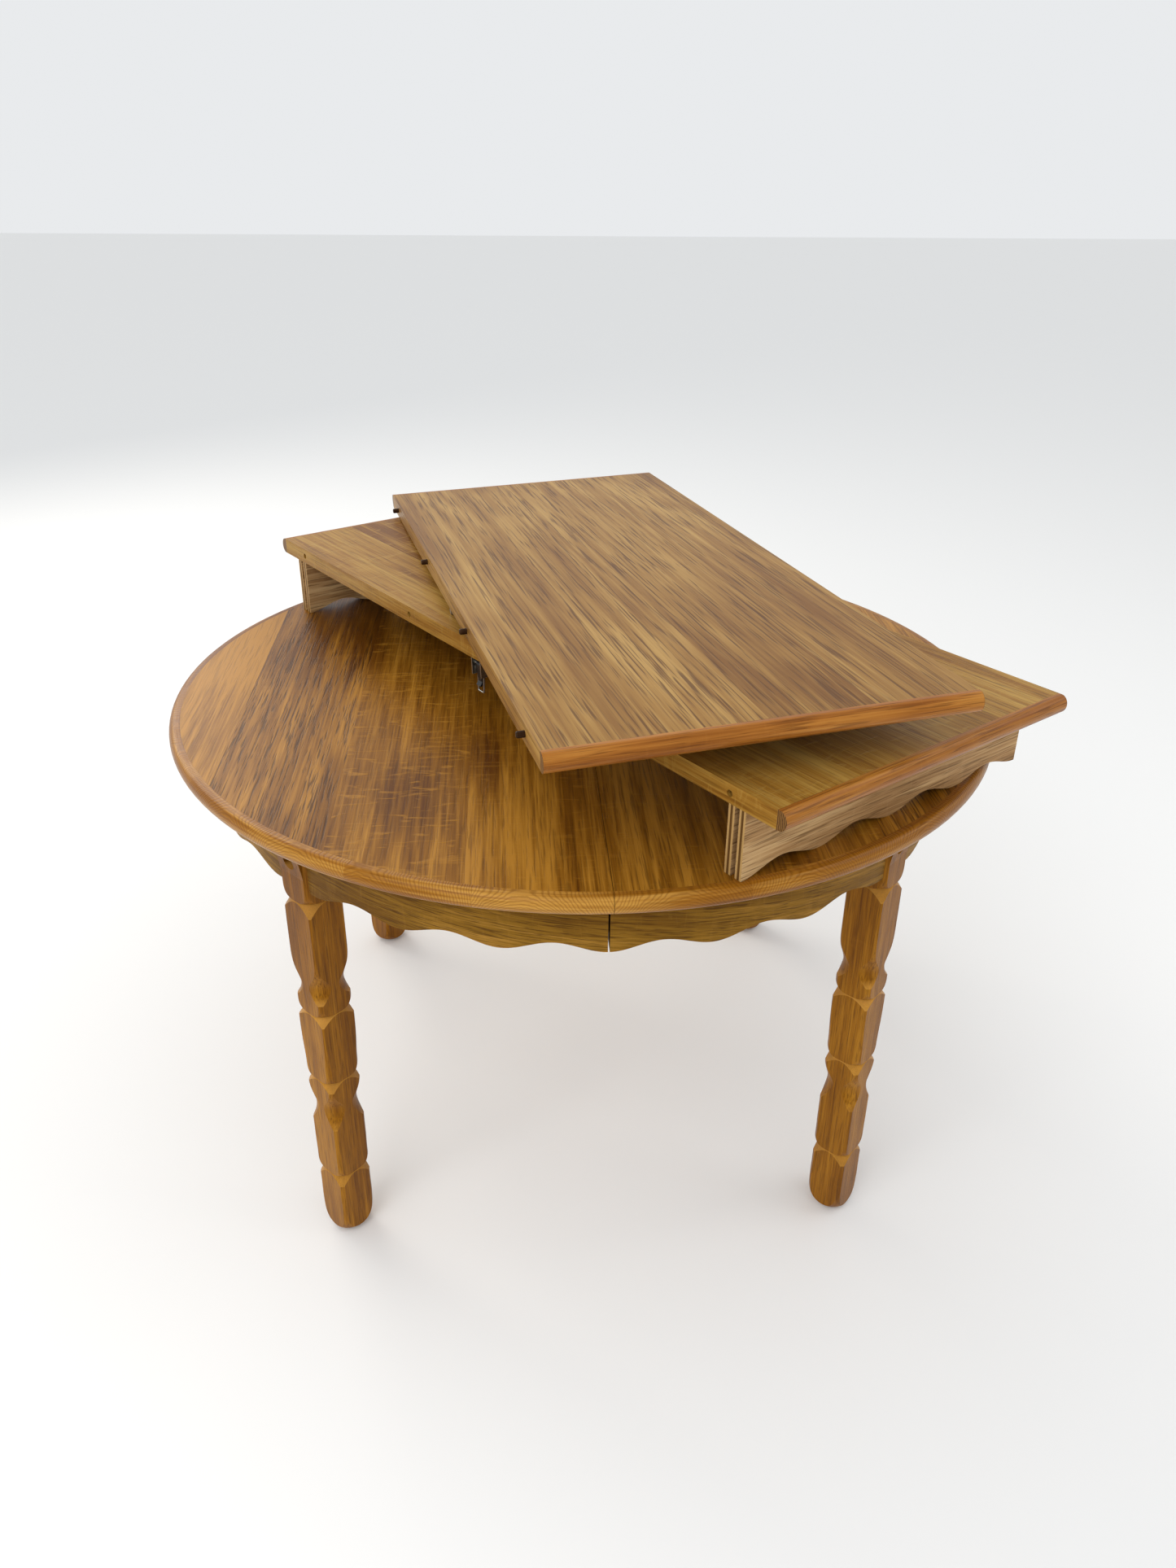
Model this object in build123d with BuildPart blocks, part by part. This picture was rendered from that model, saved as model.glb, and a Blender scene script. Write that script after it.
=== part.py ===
from build123d import *
import math
import os

os.makedirs("parts", exist_ok=True)

# Oak extending dining table with a round top in two halves, and its two
# spare leaves laid askew on top of it. Millimetres, +Z up, the floor at zero.

# Round top
TOP_R = 600
TOP_Z = 720
BOARD_T = 24
UNDER_Z = TOP_Z - BOARD_T
MID_Z = TOP_Z - BOARD_T / 2
NOSE = 10
RIM_W = 16
SPLIT = 0.6
APRON_SPLIT = 2.2
TABLE_Y = -26.24

# Legs
LEG_AT = 367
LEG_W = 54
GLIDE_R = 12
GLIDE_T = 3
NECK_Z = 610
KNEE_OUT = 20
KNEE_W = 46

# Aprons
APRON_R = 542
APRON_T = 27
APRON_H = 88
SCALLOP = 13
WAVE_DEG = 13.6
WAVES = 3.5

# Tongue blocks behind the aprons at the split
TONGUE_BLOCK_L = 40
TONGUE_BLOCK_OUT = 20
TONGUE_BLOCK_T = 24
TONGUE_BLOCK_H = 80
TONGUE_BLOCK_FIT = 0.5

# Corner blocks and leg bolts
BLOCK_IN = 79
BLOCK_HALF = 138
BLOCK_Z = 616
BLOCK_H = 70
BOLT_Z = 646
BOLT_R = 4
BOLT_SEAT = 11
SEAT_R = 10

# Telescoping runners
RUN_HALF = 430
RUN_W = 24
RUN_H = 50
RUN_TOP = 692
RUN_Y = 155
RUN_GAP = 0.4
RUN_PITCH = RUN_W + RUN_GAP
TONGUE_H = 12
TONGUE_D = 7
TONGUE_L = 350
RUN_STOP = 9.5
PACK_X = (70, 360)
PACK_L = 80
SCREW_R = 2
SCREW_HEAD_R = 4.5
SCREW_HEAD_T = 3
SCREW_SINK = 8
SCREW_TIP = 710

# Leaves
LEAF_L = 1200
LEAF_W = 500
LIP_W = 14
LEAF_CLEAR = 0.3
LEAF_APRON_T = 10
LEAF_APRON_GAP = 7
LEAF_WAVES = 4
SPACER_W = 50
SPACER_H = 60
SPACER_X = 110
GLUE_W = 80
GLUE_T = 20
GLUE_X = 150
LOWER_AT = (46.4, 16.3)
LOWER_TURN = 33.95
UPPER_AT = (45.9, 34.7)
UPPER_TURN = 191.88
UPPER_GAP = 26
UPPER_TIP = 2.0
UPPER_LEAN = 1.49

# Register pins and their holes
PIN_AT = (-515, -170, 170, 515)
PIN_R = 4
PIN_OUT = 10
PIN_IN = 20
HOLE_FIT = 0.25

# Toggle catches and strikes
PLATE_T = 2
EAR_H = 30
PIVOT_X = -14
PIVOT_Z = -14
PIVOT_R = 2.5
BAIL_AT = 6
BAIL_L = 34
BAIL_HALF = 7
BAIL_R = 1.3


def on(base, plane):
    """A plane given in the frame of another plane."""
    return Plane(base.location * plane.location)


TABLE = Plane(origin=(0, TABLE_Y, 0))
LOWER = Plane(
    Location((LOWER_AT[0], LOWER_AT[1] + TABLE_Y, TOP_Z + LEAF_CLEAR + APRON_H))
    * Rotation(0, 0, LOWER_TURN)
)
UPPER = Plane(
    Location((UPPER_AT[0], UPPER_AT[1] + TABLE_Y,
              TOP_Z + LEAF_CLEAR + APRON_H + BOARD_T + UPPER_GAP))
    * Rotation(0, 0, UPPER_TURN)
    * Rotation(UPPER_TIP, 0, 0)
    * Rotation(0, UPPER_LEAN, 0)
)
HALVES = (("left", -1), ("right", 1))
ENDS = (("front", -1), ("back", 1))
LEAVES = (("lower", LOWER), ("upper", UPPER))

# Screw places of the runners: left members outside, right members inside
SCREWS = {
    side: [(sx * x, sy * (RUN_Y - sx * RUN_PITCH)) for x in PACK_X for _, sy in ENDS]
    for side, sx in HALVES
}

# The top's two half discs. Each is a veneered board with a square split edge;
# the left one is bored for the register pins and the right one carries them.
for side, sx in HALVES:
    with BuildPart() as core:
        with BuildSketch(TABLE.offset(UNDER_Z)):
            Circle(TOP_R - RIM_W)
            with Locations((sx * (SPLIT + TOP_R) / 2, 0)):
                Rectangle(TOP_R, 2 * TOP_R, mode=Mode.INTERSECT)
        extrude(amount=BOARD_T)
        with BuildSketch(on(TABLE, Plane.YZ.offset(sx * SPLIT / 2))):
            with Locations(*[(y, MID_Z) for y in PIN_AT]):
                Circle(PIN_R + (HOLE_FIT if sx < 0 else 0))
        extrude(amount=sx * PIN_IN, mode=Mode.SUBTRACT)
        with BuildSketch(TABLE.offset(UNDER_Z)):
            with Locations(*SCREWS[side]):
                Circle(SCREW_R)
        extrude(amount=SCREW_TIP - UNDER_Z, mode=Mode.SUBTRACT)
    core.part.label = f"top_{side}"
    export_step(core.part, f"parts/top_{side}.step")

    # Bent solid lipping with a half-elliptical nose round each half disc
    with BuildPart() as rim:
        with BuildSketch(on(TABLE, Plane.XZ)):
            with Locations((TOP_R - NOSE, MID_Z)):
                Ellipse(NOSE, BOARD_T / 2)
            with Locations((TOP_R - (RIM_W + NOSE) / 2, MID_Z)):
                Rectangle(RIM_W - NOSE, BOARD_T)
            with Locations(((TOP_R - RIM_W) / 2, MID_Z)):
                Rectangle(TOP_R - RIM_W, BOARD_T, mode=Mode.SUBTRACT)
        revolve(axis=Axis((0, TABLE_Y, 0), (0, 0, 1)))
        with BuildSketch(TABLE.offset(UNDER_Z)):
            with Locations((sx * (SPLIT / 2 + TOP_R), 0)):
                Rectangle(2 * TOP_R, 3 * TOP_R)
        extrude(amount=BOARD_T, mode=Mode.INTERSECT)
    rim.part.label = f"rim_{side}"
    export_step(rim.part, f"parts/rim_{side}.step")

# Register pins of the right half: turned dowels with rounded noses
with BuildPart() as pins:
    with BuildSketch(on(TABLE, Plane.YZ.offset(SPLIT / 2 - PIN_OUT))):
        with Locations(*[(y, MID_Z) for y in PIN_AT]):
            Circle(PIN_R)
    extrude(amount=PIN_OUT + PIN_IN)
    fillet(pins.edges().group_by(Axis.X)[0], PIN_R / 2)
pins.part.label = "pins_table"
export_step(pins.part, "parts/pins_table.step")

# Leg outline from the foot up, as runs of (radius, height) between sharp
# breaks: a tulip foot, three long bellied lengths, two beads and a neck.
LEG_RUNS = (
    ((13, 3), (21, 4.5), (28.5, 11), (33, 22), (35, 40), (35.4, 60), (35.2, 102)),
    ((35.2, 102), (26, 118)),
    ((26, 118), (31.5, 120), (34.4, 126), (35.2, 140), (35.5, 170), (35.5, 210)),
    ((35.5, 210), (32.5, 217), (29.5, 227), (27.8, 240), (28.6, 251), (32, 262), (34.4, 272), (34.8, 278)),
    ((34.8, 278), (26, 292)),
    ((26, 292), (31.6, 294.5), (33.6, 300), (34.4, 315), (35.8, 345), (36.6, 370), (36.6, 394)),
    ((36.6, 394), (26, 407)),
    ((26, 407), (31, 409.5), (33.8, 415), (34.8, 422), (34.8, 430)),
    ((34.8, 430), (31, 436), (28.8, 443), (27.8, 454), (30, 465), (34, 477), (36.2, 490),
     (36.8, 515), (36.8, 545), (36.6, 570)),
    ((36.6, 570), (26, 587)),
    ((26, 587), (31, 590), (34, 597), (35, 610), (35, 640), (35, UNDER_Z)),
)
LEG_PLACES = [
    (f"{end}_{side}", sx, sy) for side, sx in HALVES for end, sy in ENDS
]
for place, sx, sy in LEG_PLACES:
    foot = (sx * LEG_AT, TABLE_Y + sy * LEG_AT)
    plan = Plane(origin=(*foot, 0), x_dir=(sx, sy, 0), z_dir=(0, 0, 1))
    radial = Plane(origin=(*foot, 0), x_dir=(sx, sy, 0), z_dir=(sy, -sx, 0))
    bore = Plane(origin=(*foot, BOLT_Z), x_dir=(0, 0, 1), z_dir=(sx, sy, 0))
    with BuildPart() as leg:
        # The blank is square with its diagonal towards the rim's tangent,
        # and the lathe work takes the corners down between the flats.
        with BuildSketch(radial):
            with BuildLine():
                Line((0, GLIDE_T), LEG_RUNS[0][0])
                for run in LEG_RUNS:
                    if len(run) == 2:
                        Line(*run)
                    else:
                        Spline(*run)
                Line(LEG_RUNS[-1][-1], (0, UNDER_Z))
                Line((0, UNDER_Z), (0, GLIDE_T))
            make_face()
        revolve(axis=Axis((*foot, 0), (0, 0, 1)))
        with BuildSketch(plan.offset(GLIDE_T)):
            Rectangle(LEG_W, LEG_W)
        extrude(amount=UNDER_Z - GLIDE_T, mode=Mode.INTERSECT)
        # Knee swept out under the rim
        with BuildSketch(radial):
            with BuildLine():
                Line((0, NECK_Z), (LEG_W / 2 - 1, NECK_Z))
                ThreePointArc(
                    (LEG_W / 2 - 1, NECK_Z),
                    (LEG_W / 2 + KNEE_OUT * 0.22, (NECK_Z + UNDER_Z) / 2),
                    (LEG_W / 2 + KNEE_OUT, UNDER_Z),
                )
                Line((LEG_W / 2 + KNEE_OUT, UNDER_Z), (0, UNDER_Z))
                Line((0, UNDER_Z), (0, NECK_Z))
            make_face()
        extrude(amount=KNEE_W / 2, both=True)
        with BuildSketch(bore.offset(-LEG_W)):
            Circle(BOLT_R)
        extrude(amount=2 * LEG_W, mode=Mode.SUBTRACT)
        with BuildSketch(bore.offset(BOLT_SEAT)):
            Circle(SEAT_R)
        extrude(amount=LEG_W, mode=Mode.SUBTRACT)
    leg.part.label = f"leg_{place}"
    export_step(leg.part, f"parts/leg_{place}.step")

    # Corner block bridging two aprons behind the leg
    with BuildPart() as block:
        with BuildSketch(plan.offset(BLOCK_Z)):
            with Locations((-(BLOCK_IN + LEG_W / 2) / 2, 0)):
                Rectangle(BLOCK_IN - LEG_W / 2, 2 * BLOCK_HALF)
        extrude(amount=BLOCK_H)
        with BuildSketch(TABLE.offset(BLOCK_Z)):
            Circle(APRON_R - APRON_T)
        extrude(amount=BLOCK_H, mode=Mode.INTERSECT)
        with BuildSketch(bore.offset(-2 * BLOCK_IN)):
            Circle(BOLT_R)
        extrude(amount=2 * BLOCK_IN, mode=Mode.SUBTRACT)
    block.part.label = f"corner_block_{place}"
    export_step(block.part, f"parts/corner_block_{place}.step")

# Leg bolts, washers and nuts, and the glides under the feet, two a side
for side, sx in HALVES:
    with BuildPart() as bolts:
        for _, sy in ENDS:
            bore = Plane(
                origin=(sx * LEG_AT, TABLE_Y + sy * LEG_AT, BOLT_Z),
                x_dir=(0, 0, 1), z_dir=(sx, sy, 0),
            )
            with BuildSketch(bore.offset(-BLOCK_IN - 15)):
                Circle(BOLT_R)
            extrude(amount=BLOCK_IN + 15 + BOLT_SEAT)
            with BuildSketch(bore.offset(BOLT_SEAT)):
                Circle(SEAT_R - 1)
            extrude(amount=1.5)
            with BuildSketch(bore.offset(BOLT_SEAT + 1.5)):
                RegularPolygon(SEAT_R - 2, 6)
            extrude(amount=5)
            with BuildSketch(bore.offset(-BLOCK_IN)):
                Circle(SEAT_R - 1)
            extrude(amount=-1.5)
            with BuildSketch(bore.offset(-BLOCK_IN - 1.5)):
                RegularPolygon(SEAT_R - 2, 6)
            extrude(amount=-7)
    bolts.part.label = f"leg_bolts_{side}"
    export_step(bolts.part, f"parts/leg_bolts_{side}.step")

    with BuildPart() as glides:
        with BuildSketch(TABLE):
            with Locations((sx * LEG_AT, -LEG_AT), (sx * LEG_AT, LEG_AT)):
                Circle(GLIDE_R)
        extrude(amount=GLIDE_T)
    glides.part.label = f"foot_glides_{side}"
    export_step(glides.part, f"parts/foot_glides_{side}.step")


def scallop(steps_deg, radius, lobes):
    """Points of a scalloped lower edge on a ring, seen along the apron."""
    count = int(lobes * 8)
    turns = [WAVE_DEG * k / 8 for k in range(-count, count + 1)]
    return [
        (radius * math.sin(math.radians(a)),
         steps_deg + SCALLOP / 2 * (1 - math.cos(2 * math.pi * a / WAVE_DEG)))
        for a in turns
    ]


# Curved aprons with a scalloped lower edge. A side apron runs from leg to
# leg; the front and back ones are cut at the split.
R2 = math.sqrt(2)
for side, sx in HALVES:
    pieces = []
    for end, sy in ENDS:
        along = (sx / R2, sy / R2)
        off = (-sx * LEG_W / 2 / R2, sy * LEG_W / 2 / R2)
        pieces.append((f"apron_{end}_{side}", Plane.XZ, [
            (off[0] + along[0] * 400, off[1] + along[1] * 400),
            (off[0] + along[0] * 650, off[1] + along[1] * 650),
            (sx * APRON_SPLIT / 2, sy * 700),
            (sx * APRON_SPLIT / 2, sy * 400),
        ]))
    lo = LEG_W / 2 / R2
    pieces.append((f"apron_side_{side}", Plane.YZ, [
        (sx * (lo + 400 / R2), lo - 400 / R2), (sx * (lo + 650 / R2), lo - 650 / R2),
        (sx * 800, 0),
        (sx * (lo + 650 / R2), 650 / R2 - lo), (sx * (lo + 400 / R2), 400 / R2 - lo),
    ]))
    for name, wall, outline in pieces:
        with BuildPart() as apron:
            with BuildSketch(TABLE.offset(UNDER_Z - APRON_H - SCALLOP)):
                Circle(APRON_R)
                Circle(APRON_R - APRON_T, mode=Mode.SUBTRACT)
            extrude(amount=APRON_H + SCALLOP)
            with BuildSketch(TABLE.offset(UNDER_Z - APRON_H - SCALLOP)):
                with BuildLine():
                    Polyline(*outline, close=True)
                make_face()
            extrude(amount=APRON_H + SCALLOP, mode=Mode.INTERSECT)
            edge = scallop(UNDER_Z - APRON_H, APRON_R, WAVES)
            low = UNDER_Z - APRON_H - 2 * SCALLOP
            with BuildSketch(on(TABLE, wall)):
                with BuildLine():
                    Spline(*edge)
                    Polyline(edge[-1], (edge[-1][0], low), (edge[0][0], low), edge[0])
                make_face()
            extrude(amount=TOP_R, both=True, mode=Mode.SUBTRACT)
        apron.part.label = name
        export_step(apron.part, f"parts/{name}.step")

# Tongue blocks glued behind the left aprons at the split. Each reaches behind
# the right apron and keeps the joint in line.
with BuildPart() as tongues:
    for left_x, width, inner_r in (
        (-TONGUE_BLOCK_L, TONGUE_BLOCK_L - APRON_SPLIT / 2, APRON_R - APRON_T),
        (-APRON_SPLIT / 2, TONGUE_BLOCK_OUT, APRON_R - APRON_T - TONGUE_BLOCK_FIT),
    ):
        with BuildSketch(TABLE.offset(UNDER_Z - TONGUE_BLOCK_H)):
            for _, sy in ENDS:
                with Locations((left_x + width / 2, sy * (inner_r - TONGUE_BLOCK_T / 2))):
                    Rectangle(width, TONGUE_BLOCK_T)
            Circle(inner_r, mode=Mode.INTERSECT)
        extrude(amount=TONGUE_BLOCK_H)
tongues.part.label = "split_tongues"
export_step(tongues.part, "parts/split_tongues.step")

# Telescoping runners: the outer member of each set belongs to the left half,
# the inner one to the right half, and a middle member with a tongue on each
# side shares the travel between them. Each groove is blind at one end, which
# is the stop at full opening.
RUN_MID_Z = RUN_TOP - RUN_H / 2
for side, sx in HALVES:
    for end, sy in ENDS:
        cy = sy * (RUN_Y - sx * RUN_PITCH)
        with BuildPart() as runner:
            with BuildSketch(TABLE.offset(RUN_TOP - RUN_H)):
                with Locations((0, cy)):
                    Rectangle(2 * RUN_HALF, RUN_W)
            extrude(amount=RUN_H)
            with BuildSketch(on(TABLE, Plane.XZ.offset(-cy - sx * sy * RUN_W / 2))):
                with Locations((sx * RUN_STOP / 2, RUN_MID_Z)):
                    Rectangle(2 * RUN_HALF - RUN_STOP, TONGUE_H + RUN_GAP)
            extrude(amount=sx * sy * (TONGUE_D + RUN_GAP), mode=Mode.SUBTRACT)
            with BuildSketch(TABLE.offset(RUN_TOP - RUN_H)):
                with Locations(*[(sx * x, cy) for x in PACK_X]):
                    Circle(SCREW_R)
            extrude(amount=RUN_H, mode=Mode.SUBTRACT)
            with BuildSketch(TABLE.offset(RUN_TOP - RUN_H)):
                with Locations(*[(sx * x, cy) for x in PACK_X]):
                    Circle(SCREW_HEAD_R)
            extrude(amount=SCREW_SINK, mode=Mode.SUBTRACT)
        runner.part.label = f"runner_{side}_{end}"
        export_step(runner.part, f"parts/runner_{side}_{end}.step")

    with BuildPart() as packers:
        with BuildSketch(TABLE.offset(RUN_TOP)):
            with Locations(*SCREWS[side]):
                Rectangle(PACK_L, RUN_W)
                Circle(SCREW_R, mode=Mode.SUBTRACT)
        extrude(amount=UNDER_Z - RUN_TOP)
    packers.part.label = f"packers_{side}"
    export_step(packers.part, f"parts/packers_{side}.step")

    with BuildPart() as screws:
        with BuildSketch(TABLE.offset(RUN_TOP - RUN_H + SCREW_SINK - SCREW_HEAD_T)):
            with Locations(*SCREWS[side]):
                Circle(SCREW_HEAD_R)
        extrude(amount=SCREW_HEAD_T)
        with BuildSketch(TABLE.offset(RUN_TOP - RUN_H + SCREW_SINK)):
            with Locations(*SCREWS[side]):
                Circle(SCREW_R)
        extrude(amount=SCREW_TIP - RUN_TOP + RUN_H - SCREW_SINK)
    screws.part.label = f"runner_screws_{side}"
    export_step(screws.part, f"parts/runner_screws_{side}.step")

for end, sy in ENDS:
    with BuildPart() as middle:
        with BuildSketch(TABLE.offset(RUN_TOP - RUN_H)):
            with Locations((0, sy * RUN_Y)):
                Rectangle(2 * RUN_HALF, RUN_W)
        extrude(amount=RUN_H)
        for sx in (-1, 1):
            with BuildSketch(TABLE.offset(RUN_MID_Z - TONGUE_H / 2)):
                with Locations((sx * (RUN_HALF - TONGUE_L / 2),
                                sy * (RUN_Y - sx * (RUN_W + TONGUE_D) / 2))):
                    Rectangle(TONGUE_L, TONGUE_D)
            extrude(amount=TONGUE_H)
    middle.part.label = f"runner_middle_{end}"
    export_step(middle.part, f"parts/runner_middle_{end}.step")

# Leaves: a veneered board, solid lipping with the same nose across each end,
# pin holes along one long edge and pins along the other.
HALF_L = LEAF_L / 2
HALF_W = LEAF_W / 2
for leaf, base in LEAVES:
    with BuildPart() as board:
        with BuildSketch(base):
            Rectangle(LEAF_W, LEAF_L - 2 * LIP_W)
        extrude(amount=BOARD_T)
        for edge_x, radius in ((-HALF_W, PIN_R + HOLE_FIT), (HALF_W, PIN_R)):
            with BuildSketch(on(base, Plane.YZ.offset(edge_x))):
                with Locations(*[(y, BOARD_T / 2) for y in PIN_AT]):
                    Circle(radius)
            extrude(amount=-math.copysign(PIN_IN, edge_x), mode=Mode.SUBTRACT)
    board.part.label = f"{leaf}_board"
    export_step(board.part, f"parts/{leaf}_board.step")

    for end, sy in ENDS:
        with BuildPart() as lip:
            with BuildSketch(on(base, Plane.YZ.offset(-HALF_W))):
                with Locations((sy * (HALF_L - NOSE), BOARD_T / 2)):
                    Ellipse(NOSE, BOARD_T / 2)
                with Locations((sy * (HALF_L - (LIP_W + NOSE) / 2), BOARD_T / 2)):
                    Rectangle(LIP_W - NOSE, BOARD_T)
                with Locations((sy * (HALF_L - LIP_W) / 2, BOARD_T / 2)):
                    Rectangle(HALF_L - LIP_W, BOARD_T, mode=Mode.SUBTRACT)
            extrude(amount=LEAF_W)
        lip.part.label = f"{leaf}_lip_{end}"
        export_step(lip.part, f"parts/{leaf}_lip_{end}.step")

    with BuildPart() as dowels:
        with BuildSketch(on(base, Plane.YZ.offset(HALF_W - PIN_IN))):
            with Locations(*[(y, BOARD_T / 2) for y in PIN_AT]):
                Circle(PIN_R)
        extrude(amount=PIN_OUT + PIN_IN)
        nose_at = Axis(base.origin, base.x_dir)
        fillet(dowels.edges().group_by(nose_at)[-1], PIN_R / 2)
    dowels.part.label = f"{leaf}_pins"
    export_step(dowels.part, f"parts/{leaf}_pins.step")

# The lower leaf's aprons: two thin boards at each end, scalloped alike, with
# packing between them and glue blocks behind.
leaf_edge = [
    (LEAF_W * (k / (8 * LEAF_WAVES) - 0.5),
     -APRON_H + SCALLOP / 2 * (1 - math.cos(math.pi * k / 4)))
    for k in range(8 * LEAF_WAVES + 1)
]
INNER_STEP = LEAF_APRON_T + LEAF_APRON_GAP
for end, sy in ENDS:
    for board_name, step in (("outer", 0), ("inner", INNER_STEP)):
        with BuildPart() as thin:
            with BuildSketch(on(LOWER, Plane.XZ.offset(-sy * (APRON_R - step)))):
                with BuildLine():
                    Spline(*leaf_edge)
                    Polyline(leaf_edge[-1], (HALF_W, 0), (-HALF_W, 0), leaf_edge[0])
                make_face()
            extrude(amount=sy * LEAF_APRON_T)
        thin.part.label = f"lower_apron_{end}_{board_name}"
        export_step(thin.part, f"parts/lower_apron_{end}_{board_name}.step")

with BuildPart() as spacers:
    with BuildSketch(LOWER):
        spot = APRON_R - LEAF_APRON_T - LEAF_APRON_GAP / 2
        with Locations(*[(x, y) for x in (-SPACER_X, SPACER_X) for y in (-spot, spot)]):
            Rectangle(SPACER_W, LEAF_APRON_GAP)
    extrude(amount=-SPACER_H)
spacers.part.label = "lower_apron_packing"
export_step(spacers.part, "parts/lower_apron_packing.step")

with BuildPart() as glue:
    with BuildSketch(LOWER):
        spot = APRON_R - APRON_T - GLUE_T / 2
        with Locations(*[(x, y) for x in (-GLUE_X, GLUE_X) for y in (-spot, spot)]):
            Rectangle(GLUE_W, GLUE_T)
    extrude(amount=-GLUE_T)
glue.part.label = "lower_glue_blocks"
export_step(glue.part, "parts/lower_glue_blocks.step")

# Toggle catches. Each frame sits on the underside at the middle of an edge
# with X out of the edge. Two levers hang open; the upper leaf's is folded.
UNDER = Plane(origin=(0, TABLE_Y, UNDER_Z))
CATCHES = (
    ("table", on(UNDER, Plane(origin=(-SPLIT / 2, 0, 0))), True),
    ("lower", on(LOWER, Plane(origin=(-HALF_W, 0, 0), x_dir=(-1, 0, 0))), True),
    ("upper", on(UPPER, Plane(origin=(-HALF_W, 0, 0), x_dir=(-1, 0, 0))), False),
)
for owner, frame, hangs in CATCHES:
    # Steel bracket: a screwed plate, two tapered ears and the pivot pin
    with BuildPart() as bracket:
        with BuildSketch(frame):
            with Locations((-27, 0)):
                Rectangle(42, 36)
        extrude(amount=-PLATE_T)
        for ear in (-12, 10):
            with BuildSketch(on(frame, Plane.XZ.offset(-ear))):
                with BuildLine():
                    Polyline((-32, -1), (-6, -1), (-7, -EAR_H), (-17, -EAR_H), close=True)
                make_face()
            extrude(amount=-2)
        with BuildSketch(on(frame, Plane.XZ.offset(-12))):
            with Locations((PIVOT_X, PIVOT_Z)):
                Circle(PIVOT_R)
        extrude(amount=24)
    bracket.part.label = f"{owner}_catch_bracket"
    export_step(bracket.part, f"parts/{owner}_catch_bracket.step")

    # Pressed lever, drawn from its pivot along X, with a turned-out tip
    reach = (0, 0, -1) if hangs else (-1, 0, 0)
    swing = on(frame, Plane(origin=(PIVOT_X, 0, PIVOT_Z), x_dir=reach, z_dir=(0, 1, 0)))
    with BuildPart() as lever:
        with BuildSketch(swing):
            with BuildLine():
                Polyline((0, 4.5), (9, 3.5), (27, 2), (32, -3), (30.5, -5), (25, -1.5),
                         (9, -3.5), (0, -4.5))
                ThreePointArc((0, -4.5), (-4.5, 0), (0, 4.5))
            make_face()
            Circle(PIVOT_R + 0.1, mode=Mode.SUBTRACT)
            with Locations((BAIL_AT + 1, 0)):
                Circle(BAIL_R + 0.2, mode=Mode.SUBTRACT)
        extrude(amount=5, both=True)
    lever.part.label = f"{owner}_catch_lever"
    export_step(lever.part, f"parts/{owner}_catch_lever.step")

    # Wire bail sprung into the lever
    loop = on(swing, Plane(origin=(BAIL_AT + 1, 0, 0), x_dir=(1, 0, 0), z_dir=(0, 1, 0)))
    start = on(loop, Plane(origin=(0, 2.2, 0), x_dir=(1, 0, 0), z_dir=(0, 1, 0)))
    with BuildPart() as bail:
        with BuildLine(loop):
            FilletPolyline((0, 2.2), (0, BAIL_HALF), (BAIL_L, BAIL_HALF),
                           (BAIL_L, -BAIL_HALF), (0, -BAIL_HALF), (0, -2.2), radius=2)
        with BuildSketch(start):
            Circle(BAIL_R)
        sweep()
    bail.part.label = f"{owner}_catch_bail"
    export_step(bail.part, f"parts/{owner}_catch_bail.step")

# Strikes: a screwed plate and a post with a lip that the bail hooks over.
# Each frame's X runs from the edge into the board.
STRIKES = (
    ("table", on(UNDER, Plane(origin=(SPLIT / 2, 0, 0)))),
    ("lower", on(LOWER, Plane(origin=(HALF_W, 0, 0), x_dir=(-1, 0, 0)))),
    ("upper", on(UPPER, Plane(origin=(HALF_W, 0, 0), x_dir=(-1, 0, 0)))),
)
for owner, frame in STRIKES:
    with BuildPart() as strike:
        with BuildSketch(frame):
            with Locations((21.5, 0)):
                Rectangle(37, 24)
        extrude(amount=-PLATE_T)
        with BuildSketch(on(frame, Plane.XZ)):
            with BuildLine():
                Polyline((5, -1), (9, -1), (9, -16), (14, -16), (14, -19), (5, -19), close=True)
            make_face()
        extrude(amount=4.5, both=True)
    strike.part.label = f"{owner}_strike"
    export_step(strike.part, f"parts/{owner}_strike.step")
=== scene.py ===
import math

import bpy
from mathutils import Euler, Matrix, Vector


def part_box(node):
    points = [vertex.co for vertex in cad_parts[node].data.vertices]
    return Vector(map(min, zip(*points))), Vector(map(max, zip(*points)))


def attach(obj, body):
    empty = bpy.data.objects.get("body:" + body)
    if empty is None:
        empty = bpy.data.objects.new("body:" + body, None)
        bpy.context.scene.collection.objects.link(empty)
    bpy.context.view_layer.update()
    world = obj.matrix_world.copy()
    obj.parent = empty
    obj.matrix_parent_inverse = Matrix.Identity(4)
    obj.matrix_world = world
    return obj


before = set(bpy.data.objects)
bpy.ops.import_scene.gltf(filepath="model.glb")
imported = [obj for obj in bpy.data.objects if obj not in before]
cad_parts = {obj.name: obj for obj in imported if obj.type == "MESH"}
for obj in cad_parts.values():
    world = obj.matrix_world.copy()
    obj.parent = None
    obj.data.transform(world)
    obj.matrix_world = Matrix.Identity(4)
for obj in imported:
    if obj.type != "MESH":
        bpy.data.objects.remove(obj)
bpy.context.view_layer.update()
bpy.ops.object.select_all(action="DESELECT")

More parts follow.
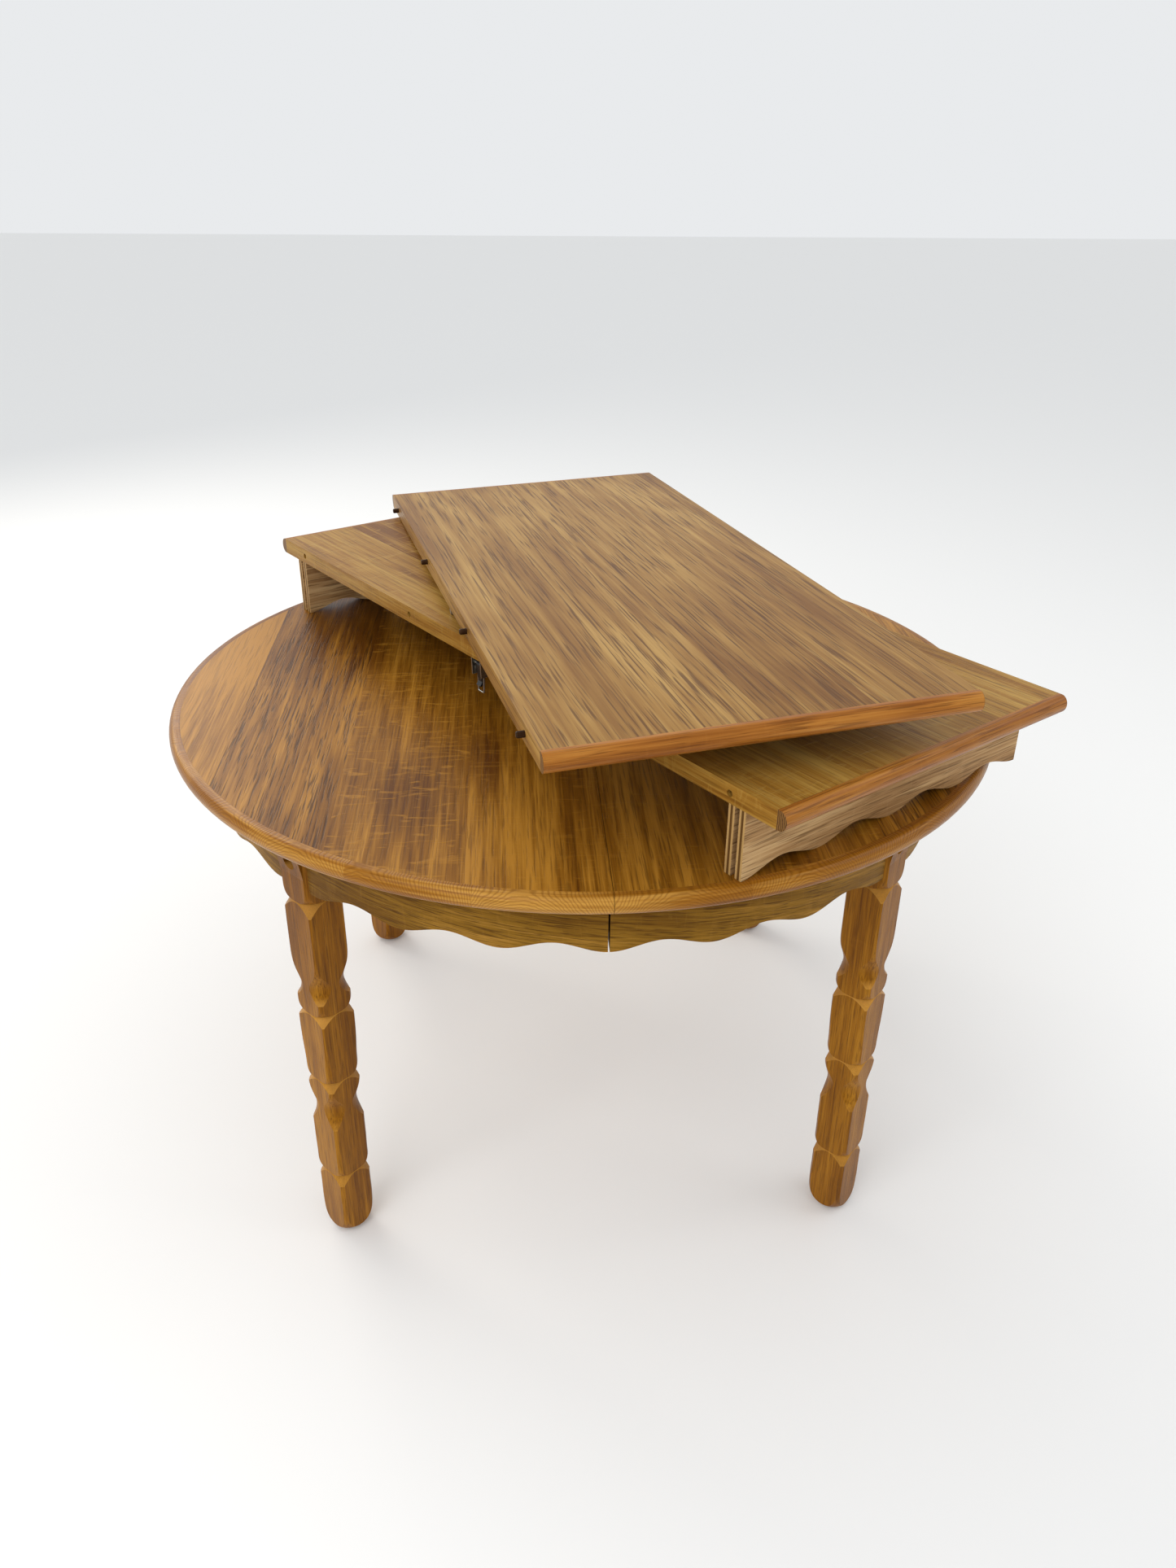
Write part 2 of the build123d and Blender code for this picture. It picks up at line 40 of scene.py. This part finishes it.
# --- Camera -----------------------------------------------------------------
# A standing viewer's eye, 1.44 m up and 1.7 m in front of the round top's centre,
# looking down across it and very slightly to the right. The plain view transform
# keeps the wood colours as they are given.
CENTRE = Vector((0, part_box("top_left")[0][1] + 0.584, 0))
EYE = Vector((-0.103, -1.680, 1.444)) + CENTRE
TURN, DIP, ROLL = 0.0673, 0.4932, 0.0103
bpy.ops.object.camera_add(location=EYE)
camera = bpy.context.object
camera.data.sensor_width = 36
camera.data.lens = 27.65
aim = Euler((math.pi / 2 - DIP, 0, -TURN)).to_matrix() @ Euler((0, 0, ROLL)).to_matrix()
camera.rotation_euler = aim.to_euler()
bpy.context.scene.camera = camera
bpy.context.scene.view_settings.view_transform = "Standard"


# --- Studio -----------------------------------------------------------------
# A pale floor, an even pale surround, a wide soft window light behind and to
# the left, and two weaker ones from the front left and the right.
def srgb(hexa, alpha=1.0):
    """A six-digit sRGB hex colour as linear values."""
    parts = [int(hexa[i:i + 2], 16) / 255 for i in (0, 2, 4)]
    return [v / 12.92 if v < 0.04045 else ((v + 0.055) / 1.055) ** 2.4 for v in parts] + [alpha]


def add(tree, kind, inputs=None, **settings):
    """Adds one shader node, with its settings, values and links."""
    node = tree.nodes.new("ShaderNode" + kind)
    for key, value in settings.items():
        setattr(node, key, value)
    for key, value in (inputs or {}).items():
        if isinstance(value, bpy.types.NodeSocket):
            tree.links.new(value, node.inputs[key])
        else:
            node.inputs[key].default_value = value
    return node


def blank(name):
    """An empty node material and its surface shader."""
    material = bpy.data.materials.new(name)
    material.use_nodes = True
    tree = material.node_tree
    return material, tree, tree.nodes["Principled BSDF"]


def times(tree, value, factor, operation="MULTIPLY"):
    """One sum on a value."""
    return add(tree, "Math", {0: value, 1: factor}, operation=operation).outputs[0]


def blend(tree, factor, first, second, blend_type="MIX"):
    """Two colours mixed by a factor."""
    return add(tree, "Mix", {0: factor, 6: first, 7: second},
               data_type="RGBA", blend_type=blend_type).outputs[2]


def stretch(tree, value, low, high, to_low=0.0, to_high=1.0):
    """A value's range stretched and held to another."""
    return add(tree, "MapRange", {0: value, 1: low, 2: high, 3: to_low, 4: to_high}).outputs[0]


bpy.ops.mesh.primitive_plane_add(size=40, location=(0, 0, 0))
floor = bpy.context.object
floor.name = "studio_floor"
material, tree, surface = blank("matt_white_studio_floor")
haze = add(tree, "TexNoise", {"Scale": 0.6, "Detail": 2.0})
tone = blend(tree, haze.outputs[0], srgb("efefee"), srgb("f4f4f3"))
tree.links.new(tone, surface.inputs["Base Color"])
surface.inputs["Roughness"].default_value = 0.9
surface.inputs["Specular IOR Level"].default_value = 0.1
floor.data.materials.append(material)

world = bpy.data.worlds.new("pale_studio")
bpy.context.scene.world = world
world.use_nodes = True
world.node_tree.nodes["Background"].inputs[0].default_value = srgb("f4f6f8")
world.node_tree.nodes["Background"].inputs[1].default_value = 0.9

for place, width, power, tint in (
    ((-2.2, 2.6, 2.9), 2.6, 60, "fff8ee"),
    ((-1.6, -2.4, 2.6), 2.2, 40, "ffffff"),
    ((2.6, -0.6, 2.4), 1.6, 12, "ffffff"),
):
    bpy.ops.object.light_add(type="AREA", location=place)
    lamp = bpy.context.object
    lamp.data.size = width
    lamp.data.energy = power
    lamp.data.color = srgb(tint)[:3]
    lamp.rotation_euler = (Vector((0, 0, 0.7)) - Vector(place)).to_track_quat("-Z", "Y").to_euler()


# --- Round top --------------------------------------------------------------
# Two half discs of board, faced with strips of crown-cut and quarter-sawn oak
# 163 mm wide that run parallel to the split, oiled to a satin sheen.
def dress(node, material):
    """Gives a CAD piece its finish."""
    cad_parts[node].material_slots[0].material = material


def oak(tree, lay, tones, pore=0.5, fleck=0.0, tone=0.5, coarse=1.0, long=1.0):
    """Oak's figure on coordinates whose Y runs along the grain: slow drifts of tone, growth
    lines, open pores drawn as dashes about 2 mm apart, and ray flecks across the grain.
    Returns its colour and a height for the bump."""
    def pattern(scale, detail=2.0, distortion=0.0):
        across, along = scale
        held = add(tree, "VectorMath", {0: lay, 1: (across, along, across)}, operation="MULTIPLY")
        return add(tree, "TexNoise", {"Vector": held.outputs[0], "Scale": 1.0, "Detail": detail,
                                      "Distortion": distortion}).outputs[0]

    drift = pattern((7, 2.2), 2.0, 0.6)
    bands = pattern((62 / coarse, 2.6 / long), 3.0, 0.5)
    lines = pattern((330 / coarse, 8 / long), 2.0)
    dashes = pattern((480 / coarse, 17 / long), 2.0, 0.3)
    rays = pattern((16, 75), 2.0, 1.6)
    level = times(tree, times(tree, drift, 0.9), times(tree, bands, 0.75), "ADD")
    level = times(tree, level, times(tree, lines, 0.55), "ADD")
    level = times(tree, level, tone, "ADD")
    level = stretch(tree, level, 1.3, 1.9)
    ray = stretch(tree, rays, 0.56, 0.68)
    ray = times(tree, ray, fleck)
    ramp = add(tree, "ValToRGB", {0: level})
    steps = ramp.color_ramp.elements
    steps[0].position, steps[0].color = 0.1, srgb(tones[0])
    steps[1].position, steps[1].color = 0.9, srgb(tones[2])
    middle = steps.new(0.5)
    middle.color = srgb(tones[1])
    colour = blend(tree, times(tree, ray, 0.6), ramp.outputs[0], srgb(tones[2]))
    dark = times(tree, stretch(tree, dashes, 0.53, 0.64), pore)
    colour = blend(tree, dark, colour, srgb(tones[3]))
    height = times(tree, times(tree, ray, 0.8), dark, "SUBTRACT")
    height = times(tree, height, times(tree, lines, 0.3), "ADD")
    return colour, height


def satin(tree, surface, colour, height, rough=0.42, depth=0.0004):
    """A satin oil finish over wood: colour, sheen and a shallow bump."""
    tree.links.new(colour, surface.inputs["Base Color"])
    surface.inputs["Roughness"].default_value = rough
    surface.inputs["IOR"].default_value = 1.48
    surface.inputs["Specular IOR Level"].default_value = 0.22
    surface.inputs["Specular Tint"].default_value = srgb("dca066")
    bump = add(tree, "Bump", {"Height": height, "Strength": 0.5, "Distance": depth})
    tree.links.new(bump.outputs[0], surface.inputs["Normal"])


def strips(tree, lay, width, table):
    """Veneer strips side by side: moves the figure on from strip to strip, and looks up each
    strip's fleck, pore and tone, given from left to right."""
    split = add(tree, "SeparateXYZ", {0: lay})
    place = times(tree, split.outputs[0], 1 / width)
    index = times(tree, place, 0, "FLOOR")
    shift = add(tree, "CombineXYZ", {0: times(tree, index, 3.17), 1: times(tree, index, 1.73), 2: 0.0})
    moved = add(tree, "VectorMath", {0: lay, 1: shift.outputs[0]}).outputs[0]
    half = len(table) / 2
    reach = times(tree, times(tree, index, half + 0.5, "ADD"), 1 / len(table))
    chart = add(tree, "ValToRGB", {0: reach})
    chart.color_ramp.interpolation = "CONSTANT"
    steps = chart.color_ramp.elements
    for k, triple in enumerate(table):
        step = steps[0] if k == 0 else steps[1] if k == 1 else steps.new(k / len(table))
        step.position = k / len(table)
        step.color = (*triple, 1)
    rgb = add(tree, "SeparateColor", {0: chart.outputs[0]})
    return moved, rgb.outputs[0], rgb.outputs[1], rgb.outputs[2]


STRIP_W = 0.163
TOP_STRIPS = ((0.2, 0.25, 0.62), (0.1, 0.75, 0.46), (0.95, 0.3, 0.5), (0.4, 0.35, 0.6),
              (0.4, 0.45, 0.55), (0.8, 0.3, 0.5), (0.2, 0.7, 0.5), (0.3, 0.3, 0.6))
material, tree, surface = blank("oak_veneer_round_top")
spot = add(tree, "TexCoord")
lay = add(tree, "Mapping", {"Vector": spot.outputs["Object"], "Location": -CENTRE})
moved, fleck, pore, tone = strips(tree, lay.outputs[0], STRIP_W, TOP_STRIPS)
colour, height = oak(tree, moved, ("5a3205", "845513", "ad7828", "341a03"), pore, fleck, tone)
satin(tree, surface, colour, height, 0.36)
surface.inputs["Coat Weight"].default_value = 0.04
surface.inputs["Coat Roughness"].default_value = 0.22
for half in ("left", "right"):
    dress(f"top_{half}", material)

# --- Rim --------------------------------------------------------------------
# Solid oak lipping in 24 short segments round the top, each sawn so that its
# growth rings come out on the rounded nose as arcs, oiled like the top.
SEGMENTS = 24
TOP_R = 0.6
RIM_MID_Z = 0.708
RING_PITCH = 0.0033
SEGMENT_L = 2 * math.pi * TOP_R / SEGMENTS


def round_lay(tree):
    """Arc length, distance from the centre and height on pieces that follow the round."""
    spot = add(tree, "TexCoord")
    held = add(tree, "Mapping", {"Vector": spot.outputs["Object"], "Location": -CENTRE})
    xyz = add(tree, "SeparateXYZ", {0: held.outputs[0]})
    angle = times(tree, xyz.outputs[1], xyz.outputs[0], "ARCTAN2")
    flat = add(tree, "CombineXYZ", {0: xyz.outputs[0], 1: xyz.outputs[1], 2: 0.0})
    reach = add(tree, "VectorMath", {0: flat.outputs[0]}, operation="LENGTH").outputs["Value"]
    return times(tree, angle, TOP_R), reach, xyz.outputs[2]


material, tree, surface = blank("oak_lipping_end_rings")
arc, reach, up = round_lay(tree)
index = times(tree, times(tree, arc, 1 / SEGMENT_L), 0, "FLOOR")
chance = add(tree, "TexWhiteNoise", {"W": index}, noise_dimensions="1D")
pick = add(tree, "SeparateColor", {0: chance.outputs["Color"]})
along = times(tree, arc, times(tree, times(tree, index, 0.5, "ADD"), SEGMENT_L), "SUBTRACT")
heart = stretch(tree, pick.outputs[0], 0, 1, -0.07, 0.07)
depth = stretch(tree, pick.outputs[1], 0, 1, 0.02, 0.06)
ring_at = add(tree, "CombineXYZ", {
    0: times(tree, along, heart, "ADD"),
    1: times(tree, times(tree, up, RIM_MID_Z, "SUBTRACT"), depth, "ADD"),
    2: times(tree, times(tree, reach, 0.59, "SUBTRACT"), 0.6),
})
ring = add(tree, "VectorMath", {0: ring_at.outputs[0]}, operation="LENGTH").outputs["Value"]
waver = add(tree, "TexNoise", {"Vector": ring_at.outputs[0], "Scale": 38.0, "Detail": 3.0})
ring = times(tree, ring, times(tree, waver.outputs[0], 0.011), "ADD")
comb = add(tree, "Math", {0: times(tree, ring, 2 * math.pi / RING_PITCH)}, operation="SINE").outputs[0]
growth = stretch(tree, comb, -0.2, 1.0)
lay = add(tree, "CombineXYZ", {0: up, 1: arc, 2: reach})
colour, height = oak(tree, lay.outputs[0], ("74430a", "96611a", "bd8a3c", "562d05"), 0.25, 0.0,
                     times(tree, times(tree, pick.outputs[2], 0.12), 0.42, "ADD"))
colour = blend(tree, times(tree, growth, 0.4), colour, srgb("633606"))
satin(tree, surface, colour, times(tree, height, growth, "SUBTRACT"), 0.34, 0.0003)
surface.inputs["Coat Weight"].default_value = 0.15
surface.inputs["Coat Roughness"].default_value = 0.2
for half in ("left", "right"):
    dress(f"rim_{half}", material)

# --- Aprons -----------------------------------------------------------------
# Curved oak rails 27 mm thick with a bandsawn scalloped edge, grain running
# round the table and falling slightly, oiled paler than the top.
material, tree, surface = blank("oak_bent_apron")
arc, reach, up = round_lay(tree)
fall = times(tree, up, times(tree, arc, 0.10), "ADD")
lay = add(tree, "CombineXYZ", {0: fall, 1: arc, 2: reach})
colour, height = oak(tree, lay.outputs[0], ("64420f", "86601c", "a87b34", "432806"),
                     0.7, 0.2, 0.46, 0.6, 0.6)
satin(tree, surface, colour, height, 0.5)
for half in ("left", "right"):
    for rail in ("front", "back", "side"):
        dress(f"apron_{rail}_{half}", material)

# --- Legs -------------------------------------------------------------------
# Square oak legs turned between the flats, set with a corner to the front. The facets
# that face up are painted paler: partly the lathe's end grain, which takes the oil paler, and partly painted
# light from above.
material, tree, surface = blank("oak_turned_leg")
spot = add(tree, "TexCoord")
turned = add(tree, "Mapping", {"Vector": spot.outputs["Object"], "Rotation": (math.pi / 2, 0, 0)})
colour, height = oak(tree, turned.outputs[0], ("6a3e08", "86540d", "a26d1b", "472605"),
                     0.5, 0.1, 0.5, 0.6, 0.7)
# Painted light: surfaces are blended towards pale tan as their normal turns upward. This is partly the paler
# end grain on the facets and partly painted light falling from above.
facing = add(tree, "NewGeometry")
lift = add(tree, "SeparateXYZ", {0: facing.outputs["Normal"]}).outputs[2]
end_grain_and_painted_top_light = stretch(tree, lift, 0.25, 0.75)
colour = blend(tree, times(tree, end_grain_and_painted_top_light, 0.75), colour, srgb("d29a48"))
satin(tree, surface, colour, height, 0.4)
surface.inputs["Coat Weight"].default_value = 0.05
surface.inputs["Coat Roughness"].default_value = 0.3
for half in ("left", "right"):
    for end in ("front", "back"):
        dress(f"leg_{end}_{half}", material)

# --- Under-frame ------------------------------------------------------------
# Beech corner blocks, runners, packing and glue blocks, planed and left bare,
# so they stay pale and matt with short dark flecks.
material, tree, surface = blank("planed_bare_beech")
spot = add(tree, "TexCoord")
turned = add(tree, "Mapping", {"Vector": spot.outputs["Object"], "Rotation": (0, 0, math.pi / 2)})
colour, height = oak(tree, turned.outputs[0], ("b08a5c", "c6a274", "d8b98c", "8a6238"), 0.4, 0.0, 0.5, 0.7)
satin(tree, surface, colour, height, 0.65, 0.0002)
for half in ("left", "right"):
    for end in ("front", "back"):
        dress(f"corner_block_{end}_{half}", material)
        dress(f"runner_{half}_{end}", material)
    dress(f"packers_{half}", material)
for end in ("front", "back"):
    dress(f"runner_middle_{end}", material)
for node in ("split_tongues", "lower_apron_packing", "lower_glue_blocks"):
    dress(node, material)

# --- Fixings ----------------------------------------------------------------
# Zinc-plated steel bolts, screws, brackets, strikes and bails. The plating is
# dull grey with cloudy patches and darker in places where it has been handled.
zinc, tree, surface = blank("zinc_plated_steel")
spot = add(tree, "TexCoord")
cloud = add(tree, "TexNoise", {"Vector": spot.outputs["Object"], "Scale": 160.0, "Detail": 4.0})
colour = blend(tree, stretch(tree, cloud.outputs[0], 0.3, 0.7), srgb("8d8b84"), srgb("bdbbb4"))
tree.links.new(colour, surface.inputs["Base Color"])
surface.inputs["Metallic"].default_value = 1.0
tree.links.new(stretch(tree, cloud.outputs[0], 0.3, 0.7, 0.42, 0.28), surface.inputs["Roughness"])
for node in ("leg_bolts_left", "leg_bolts_right", "runner_screws_left", "runner_screws_right"):
    dress(node, zinc)
for owner in ("table", "lower", "upper"):
    for fixing in ("catch_bracket", "catch_bail", "strike"):
        dress(f"{owner}_{fixing}" if fixing != "strike" else f"{owner}_strike", zinc)

# --- Levers -----------------------------------------------------------------
# Pressed steel catch levers, japanned black, rubbed a little browner where a
# thumb has worked them.
japan, tree, surface = blank("black_japanned_steel")
spot = add(tree, "TexCoord")
rub = add(tree, "TexNoise", {"Vector": spot.outputs["Object"], "Scale": 90.0, "Detail": 3.0})
colour = blend(tree, stretch(tree, rub.outputs[0], 0.45, 0.7), srgb("101011"), srgb("2b2622"))
tree.links.new(colour, surface.inputs["Base Color"])
tree.links.new(stretch(tree, rub.outputs[0], 0.3, 0.7, 0.34, 0.5), surface.inputs["Roughness"])
for owner in ("table", "lower", "upper"):
    dress(f"{owner}_catch_lever", japan)

# --- Glides -----------------------------------------------------------------
# Brown moulded nylon buttons nailed under the feet, scuffed by the floor.
nylon, tree, surface = blank("moulded_brown_nylon")
spot = add(tree, "TexCoord")
scuff = add(tree, "TexNoise", {"Vector": spot.outputs["Object"], "Scale": 220.0, "Detail": 5.0})
colour = blend(tree, scuff.outputs[0], srgb("2e2219"), srgb("4a3a2c"))
tree.links.new(colour, surface.inputs["Base Color"])
surface.inputs["Roughness"].default_value = 0.55
for half in ("left", "right"):
    dress(f"foot_glides_{half}", nylon)

# --- Register pins ----------------------------------------------------------
# Turned hardwood dowels stained nearly black, with a waxed sheen.
pin_wood, tree, surface = blank("stained_turned_dowel")
spot = add(tree, "TexCoord")
colour, height = oak(tree, spot.outputs["Object"], ("1c120b", "2b1c12", "3b281a", "120b07"), 0.3, 0.0, 0.5)
satin(tree, surface, colour, height, 0.35, 0.0001)
for owner in ("pins_table", "lower_pins", "upper_pins"):
    dress(owner, pin_wood)

# --- Leaves -----------------------------------------------------------------
# Each leaf is a veneered board with its grain along the leaf. The lower one is
# golden with a lively figure; the upper one is greyer, with coarse open pores.
LOWER = Matrix.Translation(CENTRE + Vector((0.0464, 0.0163, 0.8083)))
LOWER = LOWER @ Matrix.Rotation(math.radians(33.95), 4, "Z")
UPPER = Matrix.Translation(CENTRE + Vector((0.0459, 0.0347, 0.8583)))
for turn, axis in ((191.88, "Z"), (2.0, "X"), (1.49, "Y")):
    UPPER = UPPER @ Matrix.Rotation(math.radians(turn), 4, axis)
LEAVES = {"lower": LOWER, "upper": UPPER}


def leaf_lay(tree, leaf):
    """Coordinates laid on one leaf: X across it, Y along it, Z up from its underside."""
    spot = add(tree, "TexCoord")
    return add(tree, "Mapping", {
        "Vector": spot.outputs["Object"],
        "Location": LEAVES[leaf].to_translation(), "Rotation": LEAVES[leaf].to_euler("XYZ"),
    }, vector_type="TEXTURE").outputs[0]


LEAF_TONES = {
    "lower": (("744813", "966b28", "af8941", "4a2c0b"), 0.125,
              ((0.6, 0.35, 0.55), (0.9, 0.3, 0.45), (0.7, 0.5, 0.5), (0.3, 0.5, 0.55)), 1.0, 1.0),
    "upper": (("784f1c", "956d32", "af894a", "54320e"), 0.125,
              ((0.0, 0.75, 0.5), (0.05, 0.85, 0.46), (0.1, 0.8, 0.53), (0.0, 0.75, 0.5)), 1.4, 2.2),
}
for leaf, (tones, width, table, coarse, long) in LEAF_TONES.items():
    material, tree, surface = blank(f"oak_veneer_{leaf}_leaf")
    lay = leaf_lay(tree, leaf)
    moved, fleck, pore, tone = strips(tree, lay, width, table)
    colour, height = oak(tree, moved, tones, pore, fleck, tone, coarse, long)
    satin(tree, surface, colour, height, 0.42)
    surface.inputs["Coat Weight"].default_value = 0.05
    surface.inputs["Coat Roughness"].default_value = 0.28
    dress(f"{leaf}_board", material)

# --- Leaf lipping -----------------------------------------------------------
# A redder solid strip across each leaf's end, its grain across the leaf, with
# a rounded nose. Dark end grain shows on the sawn ends of the strip.
for leaf, tones in (("lower", ("7d4514", "9f6524", "bb8338", "532c0b")),
                    ("upper", ("7f4815", "a06426", "b97f38", "562d0b"))):
    material, tree, surface = blank(f"oak_lipping_{leaf}_leaf")
    lay = leaf_lay(tree, leaf)
    turned = add(tree, "Mapping", {"Vector": lay, "Rotation": (0, 0, math.pi / 2)})
    colour, height = oak(tree, turned.outputs[0], tones, 0.55, 0.1, 0.5, 0.8)
    cross = add(tree, "SeparateXYZ", {0: lay})
    sawn = stretch(tree, add(tree, "Math", {0: cross.outputs[0]}, operation="ABSOLUTE").outputs[0],
                   0.2496, 0.2499)
    rings = add(tree, "TexWave", {"Vector": lay, "Scale": 130.0, "Distortion": 3.0, "Detail": 2.0},
                bands_direction="Y")
    ends = blend(tree, rings.outputs["Fac"], srgb("3a2410"), srgb("8a6234"))
    colour = blend(tree, sawn, colour, ends)
    satin(tree, surface, colour, height, 0.36)
    surface.inputs["Coat Weight"].default_value = 0.15
    surface.inputs["Coat Roughness"].default_value = 0.22
    for end in ("front", "back"):
        dress(f"{leaf}_lip_{end}", material)

# --- Leaf aprons ------------------------------------------------------------
# Thin oak-faced plywood boards in pairs, greyer than the rest because they
# were barely oiled. Their edges show a dark core between two pale faces.
material, tree, surface = blank("oak_faced_plywood")
lay = leaf_lay(tree, "lower")
turned = add(tree, "Mapping", {"Vector": lay, "Rotation": (0, 0, math.pi / 2)})
colour, height = oak(tree, turned.outputs[0], ("7d5a36", "ac8659", "ccaa7a", "573d22"), 0.6, 0.15, 0.5)
away = add(tree, "Math", {0: add(tree, "SeparateXYZ", {0: lay}).outputs[1]}, operation="ABSOLUTE").outputs[0]
cores = [
    add(tree, "Math", {0: times(tree, away, middle, "SUBTRACT")}, operation="ABSOLUTE").outputs[0]
    for middle in (0.520, 0.537)
]
core = stretch(tree, times(tree, cores[0], cores[1], "MINIMUM"), 0.0016, 0.0020, 1.0, 0.0)
pale = stretch(tree, times(tree, cores[0], cores[1], "MINIMUM"), 0.0046, 0.0048, 1.0, 0.0)
colour = blend(tree, pale, colour, srgb("b18d58"))
colour = blend(tree, core, colour, srgb("5c4020"))
satin(tree, surface, colour, height, 0.55)
for end in ("front", "back"):
    for skin in ("outer", "inner"):
        dress(f"lower_apron_{end}_{skin}", material)

# --- Plate screws -----------------------------------------------------------
# Small slotted round-head screws that hold each catch bracket and strike to
# the underside of its board: zinc-plated steel, driven home.
HEAD_R, HEAD_H = 0.0026, 0.0014
bpy.ops.mesh.primitive_cylinder_add(vertices=24, radius=HEAD_R, depth=HEAD_H, location=(0, 0, 0))
screw = bpy.context.object
bpy.ops.object.mode_set(mode="EDIT")
bpy.ops.mesh.select_all(action="DESELECT")
bpy.ops.object.mode_set(mode="OBJECT")
for edge in screw.data.edges:
    edge.select = all(screw.data.vertices[v].co.z < 0 for v in edge.vertices)
bpy.ops.object.mode_set(mode="EDIT")
bpy.ops.mesh.select_mode(type="EDGE")
bpy.ops.mesh.bevel(offset=0.0007, segments=4, affect="EDGES")
bpy.ops.object.mode_set(mode="OBJECT")
bpy.ops.mesh.primitive_cube_add(size=1, location=(0, 0, -HEAD_H / 2))
slot = bpy.context.object
slot.scale = (0.008, 0.0007, 0.0012)
bpy.ops.object.transform_apply(location=True, scale=True)
bpy.ops.object.select_all(action="DESELECT")
bpy.context.view_layer.objects.active = screw
cut = screw.modifiers.new("slot", "BOOLEAN")
cut.operation = "DIFFERENCE"
cut.object = slot
bpy.ops.object.modifier_apply(modifier="slot")
bpy.data.objects.remove(slot, do_unlink=True)

FLIP = Matrix.Rotation(math.pi, 4, "Z")
UNDER = Matrix.Translation(CENTRE + Vector((0, 0, 0.696)))
PLATES = (
    ("table_bracket", "left_half", UNDER @ Matrix.Translation((-0.0003, 0, 0)), "bracket"),
    ("table_strike", "right_half", UNDER @ Matrix.Translation((0.0003, 0, 0)), "strike"),
    ("lower_bracket", "lower_leaf", LOWER @ Matrix.Translation((-0.25, 0, 0)) @ FLIP, "bracket"),
    ("lower_strike", "lower_leaf", LOWER @ Matrix.Translation((0.25, 0, 0)) @ FLIP, "strike"),
    ("upper_bracket", "upper_leaf", UPPER @ Matrix.Translation((-0.25, 0, 0)) @ FLIP, "bracket"),
    ("upper_strike", "upper_leaf", UPPER @ Matrix.Translation((0.25, 0, 0)) @ FLIP, "strike"),
)
SPOTS = {
    "bracket": ((-0.042, -0.012), (-0.042, 0.012), (-0.011, -0.0152), (-0.011, 0.0152)),
    "strike": ((0.022, 0), (0.033, 0)),
}
for name, body, base, form in PLATES:
    for k, (x, y) in enumerate(SPOTS[form]):
        mesh = screw.data.copy()
        angle = Matrix.Rotation(0.7 + 1.9 * k, 4, "Z")
        mesh.transform(base @ Matrix.Translation((x, y, -0.002 - HEAD_H / 2)) @ angle)
        piece = bpy.data.objects.new(f"{name}_screw_{k + 1}", mesh)
        bpy.context.collection.objects.link(piece)
        mesh.materials.clear()
        mesh.materials.append(zinc)
        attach(piece, body)
bpy.data.objects.remove(screw, do_unlink=True)
